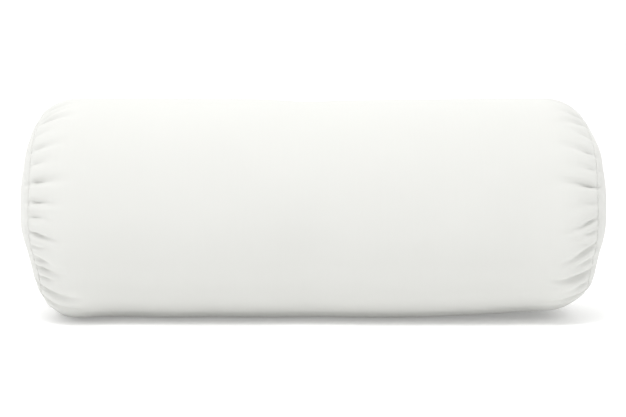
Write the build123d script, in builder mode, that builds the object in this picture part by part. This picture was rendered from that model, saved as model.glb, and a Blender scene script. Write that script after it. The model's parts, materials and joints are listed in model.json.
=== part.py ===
"""Bolster pillow: a gathered cotton cover with a coil zip along its back, round a stuffed inner pillow.

Millimetres, +Z up. The pillow lies along X on the plane Z = 0, and its back, with the zip, faces +Y.
Everything soft is turned about one axis, so each layer is the same outline set in by its own depth.
"""

import os
from math import asin, atan2, cos, degrees, hypot, radians, sin, sqrt

from build123d import *

# The form of the cover, measured on its outer face.
WRAP_RADIUS = 102.0
AXIS_HEIGHT = 98.0  # less than the radius, because the pillow's weight flattens its underside
SEAM_X = 248.0  # from the middle to each end seam
SEAM_RADIUS = 88.0
SHOULDER_RADIUS = 40.0  # the wrap rounds over to the end seam
END_BULGE = 22.0  # how far an end panel stands out from its seam

# Cloth thicknesses, and how far each layer lies in from the cover's outer face.
COVER_CLOTH = 0.6
CASE_CLOTH = 0.4
CASE_INSET = 3.4  # leaves room for the hems, the zip tape and the slider's lower plate
CASE_FLOOR = 0.8  # the inner pillow lies on the cover's underside
FILL_GAP = 0.2
SEAM_ALLOWANCE = 5.5
RIM_CLEARANCE = 0.1  # keeps an end panel's allowance just inside its outer face
THREAD_RADIUS = 0.25
THREAD_DEPTH = 1.8  # from the seam's corner in to the row of stitches

# The zip. Distances across it are measured along the wrap from its centre line.
ZIP_ANGLE = 20.0  # degrees above the middle of the back
SLOT_HALF_WIDTH = 4.7
SLOT_HALF_LENGTH = 211.0
HEM_WIDTH = 16.0
TAPE_HALF_LENGTH = 214.0
TAPE_THICKNESS = 0.6
TAPE_DEPTH = 2 * COVER_CLOTH + 0.05
TAPE_EDGE = 0.45  # half the gap between the two tapes and coils, where the slider's post runs
TAPE_REACH = 16.0
COIL_HALF_WIDTH = 3.0
COIL_HEIGHT = 1.5
COIL_HALF_LENGTH = 205.6
STOP_GAP = 0.2
STOP_LENGTH = 2.5
STOP_HALF_WIDTH = 3.4
STOP_PROUD = 0.5
TOPSTITCH_LINE = 7.5
TOPSTITCH_WIDTH = 0.5
TOPSTITCH_HEIGHT = 0.3
BAR_TACK_X = 212.5
BAR_TACK_LENGTH = 2.0
BAR_TACK_HALF_WIDTH = 6.0
BAR_TACK_HEIGHT = 0.5

# The slider and its pull, in heights above the cover's outer face.
SLIDER_X = 200.0  # where it rests with the zip closed
SLIDER_LENGTH = 11.0
SLIDER_WIDTH = 8.8
UPPER_PLATE = (0.45, 1.45)
FLANGE_BOTTOM = -1.0
FLANGE_THICKNESS = 1.15
LOWER_PLATE = (-2.9, -2.05)
NOSE_BEVEL = 1.5
TAIL_TAPER = 0.6
POST_WIDTH = 0.7
POST_X = (1.5, 4.5)
HINGE_HEIGHT = 2.4
BRIDGE_INNER = 1.5
BRIDGE_OUTER = 2.4
BRIDGE_WIDTH = 1.4
PULL_LENGTH = 23.0
PULL_THICKNESS = 1.0
PULL_BEVEL = 0.15
PULL_EYE_WIDTH = 5.0
PULL_TIP_WIDTH = 7.0
PULL_SLOPE = 3.5  # degrees: the pull's tip lies on the coil
EYE_X = (-3.3, -0.65)
EYE_HALF_WIDTH = 1.1
GRIP_HOLE_X = -18.5
GRIP_HOLE_RADIUS = 1.6

# The blank care label, sewn under the lower tape.
LABEL_X = (-185.0, -155.0)
LABEL_ACROSS = (-46.0, -10.0)
LABEL_THICKNESS = 0.3

# The inner pillow's filling gap, closed by hand.
CLOSING_HALF_LENGTH = 75.0
CLOSING_ACROSS = 60.0
CLOSING_WIDTH = 0.8

SHOULDER_DROP = SEAM_RADIUS - (WRAP_RADIUS - SHOULDER_RADIUS)
SHOULDER_X = SEAM_X - sqrt(SHOULDER_RADIUS**2 - SHOULDER_DROP**2)
END_RADIUS = (SEAM_RADIUS**2 + END_BULGE**2) / (2 * END_BULGE)
END_CENTRE_X = SEAM_X + END_BULGE - END_RADIUS

AXIS = Axis((0, 0, AXIS_HEIGHT), (1, 0, 0))
ACROSS_AXIS = Plane(origin=(0, 0, AXIS_HEIGHT), x_dir=(0, 1, 0), z_dir=(1, 0, 0))


def radial_plane(angle):
    """The plane through the axis at that angle above the back: x runs along the pillow, y outwards."""
    return Plane(
        origin=(0, 0, AXIS_HEIGHT),
        x_dir=(1, 0, 0),
        z_dir=(0, -sin(radians(angle)), cos(radians(angle))),
    )


def zip_plane(x):
    """A plane on the cover's outer face at the zip's centre line. Its z points out of the pillow."""
    outward = Vector(0, cos(radians(ZIP_ANGLE)), sin(radians(ZIP_ANGLE)))
    foot = Vector(x, 0, AXIS_HEIGHT) + outward * WRAP_RADIUS
    return Plane(origin=foot, x_dir=(1, 0, 0), z_dir=outward)


def seam_corner(inset):
    """Where the shoulder meets the end panel on the layer at that inset: (x, radius)."""
    shoulder_y = WRAP_RADIUS - SHOULDER_RADIUS
    shoulder_r = SHOULDER_RADIUS - inset
    end_r = END_RADIUS - inset
    gap = hypot(SHOULDER_X - END_CENTRE_X, shoulder_y)
    along = (end_r**2 - shoulder_r**2 + gap**2) / (2 * gap)
    turn = atan2(shoulder_y, SHOULDER_X - END_CENTRE_X) + atan2(sqrt(end_r**2 - along**2), along)
    return END_CENTRE_X + end_r * cos(turn), end_r * sin(turn)


def pillow_form(inset, floor):
    """The solid inside the layer at that inset, flattened at the height floor."""
    seam_x, seam_radius = seam_corner(inset)
    shoulder_y = WRAP_RADIUS - SHOULDER_RADIUS
    shoulder_end = degrees(atan2(seam_radius - shoulder_y, seam_x - SHOULDER_X))
    end_start = degrees(asin(seam_radius / (END_RADIUS - inset)))
    with BuildPart() as form:
        with BuildSketch(radial_plane(90)):
            with BuildLine():
                top = Line((0, WRAP_RADIUS - inset), (SHOULDER_X, WRAP_RADIUS - inset))
                CenterArc((SHOULDER_X, shoulder_y), SHOULDER_RADIUS - inset, 90, shoulder_end - 90)
                end = CenterArc((END_CENTRE_X, 0), END_RADIUS - inset, end_start, -end_start)
                Polyline(end @ 1, (0, 0), top @ 0)
            make_face()
            mirror(about=Plane.YZ)
        revolve(axis=AXIS)
        split(bisect_by=Plane.XY.offset(floor), keep=Keep.TOP)
    return form.part


def shell(inset, floor, cloth):
    """A closed bag of that cloth."""
    outside = pillow_form(inset, floor)
    inside = pillow_form(inset + cloth, floor + cloth)
    with BuildPart() as bag:
        add(outside)
        add(inside, mode=Mode.SUBTRACT)
    return bag.part


def ring(x_from, x_to, inner, outer):
    """A flat ring round the axis."""
    with BuildPart() as made:
        with BuildSketch(ACROSS_AXIS.offset(x_from)):
            Circle(outer)
            Circle(inner, mode=Mode.SUBTRACT)
        extrude(amount=x_to - x_from)
    return made.part


def strip(along, across, radii, centre=ZIP_ANGLE):
    """A strip that follows the wrap's curve, given its ends in x, its edges round the wrap and two radii."""
    turn = [centre + degrees(edge / WRAP_RADIUS) for edge in across]
    with BuildPart() as made:
        with BuildSketch(radial_plane(turn[0])):
            with Locations(((along[0] + along[1]) / 2, (radii[0] + radii[1]) / 2)):
                Rectangle(along[1] - along[0], radii[1] - radii[0])
        revolve(axis=AXIS, revolution_arc=turn[1] - turn[0])
    return made.part


def save(part, label):
    """Writes one sub-part."""
    part.label = label
    export_step(part, f"parts/{label}.step")


def wrap_panel(inset, floor, cloth):
    """The rectangle that wraps round a pillow, with its seam allowances turned in at both ends."""
    seam_x, seam_radius = seam_corner(inset)
    bag = shell(inset, floor, cloth)
    allowance = ring(seam_x - cloth, seam_x, seam_radius - SEAM_ALLOWANCE, seam_radius)
    thread = end_seam_thread(inset, 1)
    with BuildPart() as wrap:
        add(bag)
        split(bisect_by=Plane.YZ.offset(seam_x), keep=Keep.BOTTOM)
        add(allowance)
        add(thread, mode=Mode.SUBTRACT)
        split(bisect_by=Plane.YZ, keep=Keep.TOP)
        mirror(about=Plane.YZ)
    return wrap.part


def end_panel(inset, floor, cloth, side):
    """The round panel that closes one end. side is 1 for the right end, -1 for the left."""
    seam_x, seam_radius = seam_corner(inset)
    rim = sqrt((END_RADIUS - inset) ** 2 - (seam_x + cloth - END_CENTRE_X) ** 2)
    bag = shell(inset, floor, cloth)
    allowance = ring(seam_x, seam_x + cloth, seam_radius - SEAM_ALLOWANCE, rim - RIM_CLEARANCE)
    thread = end_seam_thread(inset, 1)
    with BuildPart() as panel:
        add(bag)
        split(bisect_by=Plane.YZ.offset(seam_x), keep=Keep.TOP)
        add(allowance)
        add(thread, mode=Mode.SUBTRACT)
    return panel.part if side > 0 else mirror(panel.part, about=Plane.YZ)


def end_seam_thread(inset, side):
    """The row of stitches through both seam allowances of one end."""
    seam_x, seam_radius = seam_corner(inset)
    with BuildPart() as thread:
        with BuildSketch(radial_plane(90)):
            with Locations((side * seam_x, seam_radius - THREAD_DEPTH)):
                Circle(THREAD_RADIUS)
        revolve(axis=AXIS)
    return thread.part


def cover_wrap():
    """The cover's wrap, slit along the back for the zip, with a hem folded under each side of the slit."""
    panel = wrap_panel(0, 0, COVER_CLOTH)
    hem = strip(
        (-TAPE_HALF_LENGTH, TAPE_HALF_LENGTH),
        (-HEM_WIDTH, HEM_WIDTH),
        (WRAP_RADIUS - 2 * COVER_CLOTH, WRAP_RADIUS - COVER_CLOTH / 2),
    )
    slit = strip(
        (-SLOT_HALF_LENGTH, SLOT_HALF_LENGTH),
        (-SLOT_HALF_WIDTH, SLOT_HALF_WIDTH),
        (WRAP_RADIUS - 4 * COVER_CLOTH, WRAP_RADIUS + COVER_CLOTH),
    )
    with BuildPart() as wrap:
        add(panel)
        add(hem)
        add(slit, mode=Mode.SUBTRACT)
    return wrap.part


def both_sides(across):
    """The same two edges on the zip's upper side and on its lower side."""
    return {"upper": across, "lower": (-across[1], -across[0])}


def zip_tape(across):
    """One woven tape, sewn under the hem."""
    tape_face = WRAP_RADIUS - TAPE_DEPTH
    return strip((-TAPE_HALF_LENGTH, TAPE_HALF_LENGTH), across, (tape_face - TAPE_THICKNESS, tape_face))


def zip_coil(across):
    """The space that one nylon coil fills on its tape."""
    tape_face = WRAP_RADIUS - TAPE_DEPTH
    return strip((-COIL_HALF_LENGTH, COIL_HALF_LENGTH), across, (tape_face, tape_face + COIL_HEIGHT))


def topstitch(across):
    """The row of stitches that holds the hem to the tape."""
    return strip((-TAPE_HALF_LENGTH, TAPE_HALF_LENGTH), across, (WRAP_RADIUS, WRAP_RADIUS + TOPSTITCH_HEIGHT))


def zip_stop(side, across):
    """A crimped stop on the coil's end."""
    near = COIL_HALF_LENGTH + STOP_GAP
    along = sorted((side * near, side * (near + STOP_LENGTH)))
    return strip(along, across, (WRAP_RADIUS - TAPE_DEPTH, WRAP_RADIUS + STOP_PROUD))


def zip_top_stops():
    """Two crimps, one on each coil, at the closed end."""
    crimps = [zip_stop(1, across) for across in both_sides((TAPE_EDGE, STOP_HALF_WIDTH)).values()]
    with BuildPart() as stops:
        add(crimps)
    return stops.part


def bar_tack(side):
    """The dense stitching across one end of the slit."""
    middle = side * BAR_TACK_X
    along = (middle - BAR_TACK_LENGTH / 2, middle + BAR_TACK_LENGTH / 2)
    across = (-BAR_TACK_HALF_WIDTH, BAR_TACK_HALF_WIDTH)
    return strip(along, across, (WRAP_RADIUS, WRAP_RADIUS + BAR_TACK_HEIGHT))


def care_label():
    """A blank label, sewn under the lower tape."""
    under_tape = WRAP_RADIUS - TAPE_DEPTH - TAPE_THICKNESS
    return strip(LABEL_X, LABEL_ACROSS, (under_tape - LABEL_THICKNESS, under_tape))


def closing_stitches():
    """The hand stitches that close the inner pillow's filling gap."""
    face = WRAP_RADIUS - CASE_INSET
    across = (CLOSING_ACROSS - CLOSING_WIDTH / 2, CLOSING_ACROSS + CLOSING_WIDTH / 2)
    return strip((-CLOSING_HALF_LENGTH, CLOSING_HALF_LENGTH), across, (face, face + CASE_CLOTH))


def fibre_fill():
    """The stuffing, which the inner case's seam allowances press into."""
    inset = CASE_INSET + CASE_CLOTH + FILL_GAP
    seam_x, seam_radius = seam_corner(CASE_INSET)
    groove_radius = seam_radius - SEAM_ALLOWANCE - FILL_GAP
    groove_half = CASE_CLOTH + FILL_GAP
    mass = pillow_form(inset, CASE_FLOOR + CASE_CLOTH + FILL_GAP)
    grooves = [
        ring(middle - groove_half, middle + groove_half, groove_radius, WRAP_RADIUS)
        for middle in (-seam_x, seam_x)
    ]
    with BuildPart() as fill:
        add(mass)
        add(grooves, mode=Mode.SUBTRACT)
    return fill.part


def slider_plate(heights):
    """The slider's outline between two heights: bevelled at the nose, narrower towards the tail."""
    nose = SLIDER_LENGTH / 2
    half_width = SLIDER_WIDTH / 2
    with BuildPart() as plate:
        with BuildSketch(zip_plane(SLIDER_X).offset(heights[0])):
            with BuildLine():
                Polyline(
                    (nose, 0),
                    (nose, half_width - NOSE_BEVEL),
                    (nose - NOSE_BEVEL, half_width),
                    (POST_X[0], half_width),
                    (-nose, half_width - TAIL_TAPER),
                    (-nose, 0),
                    close=True,
                )
            make_face()
            mirror(about=Plane.XZ)
        extrude(amount=heights[1] - heights[0])
    return plate.part


def zip_slider():
    """Two plates on a post between the coils, flanges beside them, and the bridge that holds the pull."""
    base = zip_plane(SLIDER_X)
    plate_top = UPPER_PLATE[1]
    side_view = Plane(origin=base.origin, x_dir=base.x_dir, z_dir=-base.y_dir)
    upper = slider_plate((FLANGE_BOTTOM, plate_top))
    lower = slider_plate(LOWER_PLATE)
    with BuildPart() as slider:
        add(upper)
        with BuildSketch(base.offset(FLANGE_BOTTOM)):
            Rectangle(2 * SLIDER_LENGTH, SLIDER_WIDTH - 2 * FLANGE_THICKNESS)
        extrude(amount=UPPER_PLATE[0] - FLANGE_BOTTOM, mode=Mode.SUBTRACT)
        add(lower)
        with BuildSketch(base.offset(LOWER_PLATE[1])):
            with Locations(((POST_X[0] + POST_X[1]) / 2, 0)):
                Rectangle(POST_X[1] - POST_X[0], POST_WIDTH)
        extrude(amount=UPPER_PLATE[0] - LOWER_PLATE[1])
        with BuildSketch(side_view):
            with Locations((0, HINGE_HEIGHT)):
                Circle(BRIDGE_OUTER)
            with Locations((0, (HINGE_HEIGHT + plate_top) / 2)):
                Rectangle(2 * BRIDGE_OUTER, HINGE_HEIGHT - plate_top)
            with Locations((0, HINGE_HEIGHT)):
                Circle(BRIDGE_INNER, mode=Mode.SUBTRACT)
            with Locations((0, (HINGE_HEIGHT + plate_top) / 2)):
                Rectangle(2 * BRIDGE_INNER, HINGE_HEIGHT - plate_top, mode=Mode.SUBTRACT)
            with Locations((0, plate_top - BRIDGE_OUTER / 2)):
                Rectangle(2 * BRIDGE_OUTER, BRIDGE_OUTER, mode=Mode.SUBTRACT)
        extrude(amount=BRIDGE_WIDTH / 2, both=True)
    return slider.part


def zip_pull():
    """The flat pull. Its eye goes round the slider's bridge, and its tip lies on the coil."""
    base = zip_plane(SLIDER_X)
    eye_end = -EYE_X[1]
    tip = PULL_TIP_WIDTH / 2
    with BuildPart() as pull:
        with BuildSketch(base.offset(HINGE_HEIGHT - PULL_THICKNESS / 2)):
            with BuildLine():
                Polyline(
                    (eye_end, 0),
                    (eye_end, PULL_EYE_WIDTH / 2),
                    (EYE_X[0] - PULL_THICKNESS, PULL_EYE_WIDTH / 2),
                    (-PULL_LENGTH + tip, tip),
                )
                RadiusArc((-PULL_LENGTH + tip, tip), (-PULL_LENGTH, 0), -tip)
                Line((-PULL_LENGTH, 0), (eye_end, 0))
            make_face()
            mirror(about=Plane.XZ)
            with Locations(((EYE_X[0] + EYE_X[1]) / 2, 0)):
                Rectangle(EYE_X[1] - EYE_X[0], 2 * EYE_HALF_WIDTH, mode=Mode.SUBTRACT)
            with Locations((GRIP_HOLE_X, 0)):
                Circle(GRIP_HOLE_RADIUS, mode=Mode.SUBTRACT)
        extrude(amount=PULL_THICKNESS)
        chamfer(pull.faces().filter_by(Axis(base.origin, base.z_dir)).edges(), PULL_BEVEL)
    hinge = Axis(base.origin + base.z_dir * HINGE_HEIGHT, base.y_dir)
    return pull.part.rotate(hinge, -PULL_SLOPE)


def main():
    """Builds and writes every sub-part."""
    os.makedirs("parts", exist_ok=True)
    save(cover_wrap(), "cover_wrap_panel")
    save(wrap_panel(CASE_INSET, CASE_FLOOR, CASE_CLOTH), "inner_case_wrap_panel")
    for name, side in (("left", -1), ("right", 1)):
        save(end_panel(0, 0, COVER_CLOTH, side), f"cover_end_panel_{name}")
        save(end_seam_thread(0, side), f"cover_seam_thread_{name}")
        save(end_panel(CASE_INSET, CASE_FLOOR, CASE_CLOTH, side), f"inner_case_end_panel_{name}")
        save(end_seam_thread(CASE_INSET, side), f"inner_case_seam_thread_{name}")
        save(bar_tack(side), f"zip_bar_tack_{name}")
    for name, across in both_sides((TAPE_EDGE, TAPE_REACH)).items():
        save(zip_tape(across), f"zip_tape_{name}")
    for name, across in both_sides((TAPE_EDGE, COIL_HALF_WIDTH)).items():
        save(zip_coil(across), f"zip_coil_{name}")
    stitch_edges = (TOPSTITCH_LINE - TOPSTITCH_WIDTH / 2, TOPSTITCH_LINE + TOPSTITCH_WIDTH / 2)
    for name, across in both_sides(stitch_edges).items():
        save(topstitch(across), f"zip_topstitch_{name}")
    save(zip_top_stops(), "zip_top_stops")
    save(zip_stop(-1, (-STOP_HALF_WIDTH, STOP_HALF_WIDTH)), "zip_bottom_stop")
    save(zip_slider(), "zip_slider")
    save(zip_pull(), "zip_pull")
    save(care_label(), "care_label")
    save(closing_stitches(), "inner_case_closing_stitches")
    save(fibre_fill(), "fibre_fill")


main()
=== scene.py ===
"""A white cotton bolster pillow: a gathered cover with a zip along its back, over a stuffed inner pillow.

Metres, in the model's own frame. The pillow lies along X on Z = 0, and its plain front faces -Y.
Distances round the wrap are measured from the zip's centre line, and heights from the cover's outer face.
"""

import json
from math import acos, asin, atan2, copysign, cos, exp, hypot, pi, radians, sin, sqrt, tau
from random import Random

import bmesh
import bpy
import numpy as np
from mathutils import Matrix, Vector, noise
from mathutils.bvhtree import BVHTree


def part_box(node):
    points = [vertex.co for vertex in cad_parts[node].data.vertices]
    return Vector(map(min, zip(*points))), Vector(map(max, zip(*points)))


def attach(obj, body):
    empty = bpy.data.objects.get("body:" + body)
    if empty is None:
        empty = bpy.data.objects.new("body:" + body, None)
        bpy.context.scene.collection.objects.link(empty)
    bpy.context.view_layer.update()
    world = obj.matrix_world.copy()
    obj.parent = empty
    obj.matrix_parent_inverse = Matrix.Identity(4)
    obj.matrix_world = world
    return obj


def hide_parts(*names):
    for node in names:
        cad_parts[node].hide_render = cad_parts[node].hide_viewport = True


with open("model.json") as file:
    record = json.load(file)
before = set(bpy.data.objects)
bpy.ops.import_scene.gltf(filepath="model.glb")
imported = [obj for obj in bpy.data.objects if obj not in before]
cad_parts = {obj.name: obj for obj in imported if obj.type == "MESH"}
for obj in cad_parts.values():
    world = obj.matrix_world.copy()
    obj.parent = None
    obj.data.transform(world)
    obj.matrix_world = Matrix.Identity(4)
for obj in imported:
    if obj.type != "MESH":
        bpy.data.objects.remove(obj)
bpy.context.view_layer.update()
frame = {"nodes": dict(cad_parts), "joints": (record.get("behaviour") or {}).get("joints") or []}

MM = 0.001

# The cover's form, read from the frame.
WRAP_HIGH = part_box("cover_wrap_panel")[1]
END_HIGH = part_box("cover_end_panel_right")[1]
SEAM_X = round(WRAP_HIGH.x, 3)
WRAP_RADIUS = round(WRAP_HIGH.y, 3)
AXIS_HEIGHT = round(WRAP_HIGH.z, 3) - WRAP_RADIUS
SEAM_RADIUS = round(END_HIGH.y, 3)
END_BULGE = round(END_HIGH.x, 3) - SEAM_X
SHOULDER_RADIUS = 40 * MM

SHOULDER_DROP = SEAM_RADIUS - (WRAP_RADIUS - SHOULDER_RADIUS)
SHOULDER_X = SEAM_X - sqrt(SHOULDER_RADIUS**2 - SHOULDER_DROP**2)
WRAP_HALF = SHOULDER_X + SHOULDER_RADIUS * acos(SHOULDER_DROP / SHOULDER_RADIUS)
END_RADIUS = (SEAM_RADIUS**2 + END_BULGE**2) / (2 * END_BULGE)
END_CENTRE_X = SEAM_X + END_BULGE - END_RADIUS

# The zip's place, from its pull's hinge and the sizes of its nodes.
HINGE = Vector(next(j["pos_m"] for j in frame["joints"] if j["name"] == "zip_pull_swing"))
ZIP_ANGLE = atan2(HINGE.z - AXIS_HEIGHT, HINGE.y)
TAPE_HALF_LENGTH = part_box("zip_tape_upper")[1].x
COIL_HALF_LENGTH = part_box("zip_coil_upper")[1].x
SLOT_HALF_LENGTH = 211 * MM
SLOT_HALF_WIDTH = 4.7 * MM
HEM_WIDTH = 16 * MM
COVER_CLOTH = 0.6 * MM
CASE_CLOTH = 0.4 * MM
CASE_INSET = 3.4 * MM
CASE_FLOOR = 0.8 * MM
FILL_INSET = 4.4 * MM
FILL_FLOOR = 1.6 * MM
SEAM_ALLOWANCE = 5.5 * MM
TAPE_FACE = -1.25 * MM
TAPE_THICKNESS = 0.6 * MM
TAPE_EDGES = (0.45 * MM, HEM_WIDTH)
COIL_EDGES = (0.38 * MM, 3.0 * MM)
COIL_HEIGHTS = (-1.25 * MM, 0.25 * MM)
COIL_PITCH = 1.5 * MM
COIL_WIRE = 0.28 * MM
TOPSTITCH_LINE = 7.5 * MM
STITCH_PITCH = 3 * MM
BAR_TACK_X = 212.5 * MM
BAR_TACK_HALF_WIDTH = 5.8 * MM
LABEL_X = (-185 * MM, -155 * MM)
LABEL_ACROSS = (-46 * MM, -10 * MM)
LABEL_FACE = -1.9 * MM
CLOSING_ACROSS = 60 * MM
CLOSING_HALF_LENGTH = 75 * MM

# The cloth's mesh: fine at the gathers, coarser along the middle.
STEPS_ROUND = 320
FINE_ROW = 2.0 * MM
COARSE_ROW = 6.5 * MM
FINE_REACH = 45 * MM
GRADING = 50 * MM

WRAP, LEFT_END, RIGHT_END = 0, 1, 2


# ---------------------------------------------------------------- shader parts


def node_group(name, inputs, outputs):
    """An empty shader group with its sockets. Returns the group, its input node and its output node."""
    group = bpy.data.node_groups.new(name, "ShaderNodeTree")
    for label, kind, value in inputs:
        socket = group.interface.new_socket(label, in_out="INPUT", socket_type=kind)
        if value is not None:
            socket.default_value = value
    for label, kind in outputs:
        group.interface.new_socket(label, in_out="OUTPUT", socket_type=kind)
    return group, group.nodes.new("NodeGroupInput"), group.nodes.new("NodeGroupOutput")


def math_node(tree, operation, first, second=None, clamp=False):
    """A Math node fed by sockets or numbers. Returns its output socket."""
    node = tree.nodes.new("ShaderNodeMath")
    node.operation = operation
    node.use_clamp = clamp
    for index, value in enumerate((first, second)):
        if value is None:
            continue
        if isinstance(value, (int, float)):
            node.inputs[index].default_value = value
        else:
            tree.links.new(value, node.inputs[index])
    return node.outputs[0]


def weave_group():
    """A plain weave: warp and weft pass over and under each other, and vary a little in thickness."""
    group, given, result = node_group(
        "plain_weave",
        [("Vector", "NodeSocketVector", None), ("Threads per metre", "NodeSocketFloat", 2600.0)],
        [("Height", "NodeSocketFloat"), ("Slub", "NodeSocketFloat")],
    )
    scale = group.nodes.new("ShaderNodeVectorMath")
    scale.operation = "SCALE"
    group.links.new(given.outputs["Vector"], scale.inputs[0])
    group.links.new(given.outputs["Threads per metre"], scale.inputs["Scale"])
    apart = group.nodes.new("ShaderNodeSeparateXYZ")
    group.links.new(scale.outputs[0], apart.inputs[0])
    waves = []
    for axis in ("X", "Y"):
        turn = math_node(group, "MULTIPLY", apart.outputs[axis], pi)
        waves.append(math_node(group, "SINE", turn))
    ridges = math_node(group, "MULTIPLY", waves[0], waves[1])
    height = math_node(group, "MULTIPLY_ADD", ridges, 0.5)
    height.node.inputs[2].default_value = 0.5
    group.links.new(height, result.inputs["Height"])
    slubs = group.nodes.new("ShaderNodeTexNoise")
    slubs.inputs["Scale"].default_value = 0.12
    slubs.inputs["Detail"].default_value = 2.0
    stretch = group.nodes.new("ShaderNodeMapping")
    stretch.inputs["Scale"].default_value = (0.08, 1.4, 1.0)
    group.links.new(scale.outputs[0], stretch.inputs["Vector"])
    group.links.new(stretch.outputs[0], slubs.inputs["Vector"])
    group.links.new(slubs.outputs[0], result.inputs["Slub"])
    return group


def crumple_group():
    """The shallow creases that washed cloth keeps, and the patches where it has yellowed very slightly."""
    group, given, result = node_group(
        "washed_cloth",
        [("Vector", "NodeSocketVector", None), ("Crease size", "NodeSocketFloat", 90.0)],
        [("Height", "NodeSocketFloat"), ("Patches", "NodeSocketFloat")],
    )
    folds = group.nodes.new("ShaderNodeTexNoise")
    folds.inputs["Detail"].default_value = 3.0
    folds.inputs["Roughness"].default_value = 0.45
    folds.inputs["Distortion"].default_value = 0.6
    group.links.new(given.outputs["Vector"], folds.inputs["Vector"])
    group.links.new(given.outputs["Crease size"], folds.inputs["Scale"])
    group.links.new(folds.outputs[0], result.inputs["Height"])
    patches = group.nodes.new("ShaderNodeTexNoise")
    patches.inputs["Scale"].default_value = 14.0
    patches.inputs["Detail"].default_value = 2.0
    group.links.new(given.outputs["Vector"], patches.inputs["Vector"])
    group.links.new(patches.outputs[0], result.inputs["Patches"])
    return group


WEAVE = weave_group()
WASHED = crumple_group()


def new_material(name):
    """A material with its Principled shader. Returns both and the tree."""
    material = bpy.data.materials.new(name)
    material.use_nodes = True
    tree = material.node_tree
    return material, tree, tree.nodes["Principled BSDF"]


def place(tree, kind, **values):
    """A node with its input values set by name."""
    node = tree.nodes.new(kind)
    for label, value in values.items():
        node.inputs[label].default_value = value
    return node


def group_node(tree, group, **values):
    """Places a shader group, with its own values set by name; an underscore stands for a space."""
    node = tree.nodes.new("ShaderNodeGroup")
    node.node_tree = group
    for label, value in values.items():
        node.inputs[label.replace("_", " ")].default_value = value
    return node


def two_tones(tree, mask, low, high):
    """Mixes two colours by a mask."""
    mix = tree.nodes.new("ShaderNodeMix")
    mix.data_type = "RGBA"
    mix.inputs[6].default_value = (*low, 1)
    mix.inputs[7].default_value = (*high, 1)
    tree.links.new(mask, mix.inputs[0])
    return mix.outputs[2]


def bumped(tree, shader, layers):
    """Chains Bump nodes, each (height socket, strength, distance), into the shader's normal."""
    normal = None
    for height, strength, distance in layers:
        bump = place(tree, "ShaderNodeBump", Strength=strength, Distance=distance)
        tree.links.new(height, bump.inputs["Height"])
        if normal is not None:
            tree.links.new(normal, bump.inputs["Normal"])
        normal = bump.outputs[0]
    tree.links.new(normal, shader.inputs["Normal"])


def cloth_material(name, tones, threads, weave_depth, crease, sheen=0.15, roughness=0.85):
    """Woven cloth: a weave along the cloth's own UV map, washed creases and two close tones."""
    material, tree, shader = new_material(name)
    uv = tree.nodes.new("ShaderNodeUVMap")
    uv.uv_map = "cloth"
    place_of = tree.nodes.new("ShaderNodeTexCoord")
    weave = group_node(tree, WEAVE, Threads_per_metre=threads)
    tree.links.new(uv.outputs[0], weave.inputs["Vector"])
    washed = group_node(tree, WASHED, Crease_size=crease)
    tree.links.new(place_of.outputs["Object"], washed.inputs["Vector"])
    blend = math_node(tree, "MULTIPLY", washed.outputs["Patches"], 0.7)
    mask = math_node(tree, "MULTIPLY_ADD", weave.outputs["Slub"], 0.3, clamp=True)
    tree.links.new(blend, mask.node.inputs[2])
    tree.links.new(two_tones(tree, mask, *tones), shader.inputs["Base Color"])
    rough = math_node(tree, "MULTIPLY_ADD", washed.outputs["Patches"], 0.1)
    rough.node.inputs[2].default_value = roughness - 0.05
    tree.links.new(rough, shader.inputs["Roughness"])
    shader.inputs["Specular IOR Level"].default_value = 0.25
    shader.inputs["Sheen Weight"].default_value = sheen
    shader.inputs["Sheen Roughness"].default_value = 0.5
    bumped(
        tree,
        shader,
        [
            (washed.outputs["Height"], 0.35, 0.4 * MM),
            (weave.outputs["Slub"], 0.2, 0.1 * MM),
            (weave.outputs["Height"], weave_depth, 0.08 * MM),
        ],
    )
    return material


def thread_material():
    """Spun thread, with its plies as fine slanting ridges."""
    material, tree, shader = new_material("spun_thread")
    place_of = tree.nodes.new("ShaderNodeTexCoord")
    turned = place(tree, "ShaderNodeMapping", Rotation=(0.5, 0.35, 0.6))
    tree.links.new(place_of.outputs["Object"], turned.inputs["Vector"])
    plies = place(tree, "ShaderNodeTexWave", Scale=900.0, Distortion=1.5, Detail=1.0)
    tree.links.new(turned.outputs[0], plies.inputs["Vector"])
    colour = two_tones(tree, plies.outputs["Fac"], (0.66, 0.66, 0.63), (0.76, 0.76, 0.74))
    tree.links.new(colour, shader.inputs["Base Color"])
    shader.inputs["Roughness"].default_value = 0.6
    shader.inputs["Sheen Weight"].default_value = 0.2
    bumped(tree, shader, [(plies.outputs["Fac"], 0.5, 0.1 * MM)])
    return material


def nylon_material():
    """Drawn nylon: smooth, slightly cloudy, with faint draw marks."""
    material, tree, shader = new_material("drawn_nylon")
    place_of = tree.nodes.new("ShaderNodeTexCoord")
    clouds = place(tree, "ShaderNodeTexNoise", Scale=160.0, Detail=2.0)
    tree.links.new(place_of.outputs["Object"], clouds.inputs["Vector"])
    colour = two_tones(tree, clouds.outputs[0], (0.62, 0.63, 0.62), (0.72, 0.72, 0.71))
    tree.links.new(colour, shader.inputs["Base Color"])
    rough = math_node(tree, "MULTIPLY_ADD", clouds.outputs[0], 0.15)
    rough.node.inputs[2].default_value = 0.28
    tree.links.new(rough, shader.inputs["Roughness"])
    shader.inputs["Subsurface Weight"].default_value = 0.15
    shader.inputs["Subsurface Scale"].default_value = 1 * MM
    bumped(tree, shader, [(clouds.outputs[0], 0.15, 0.1 * MM)])
    return material


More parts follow.
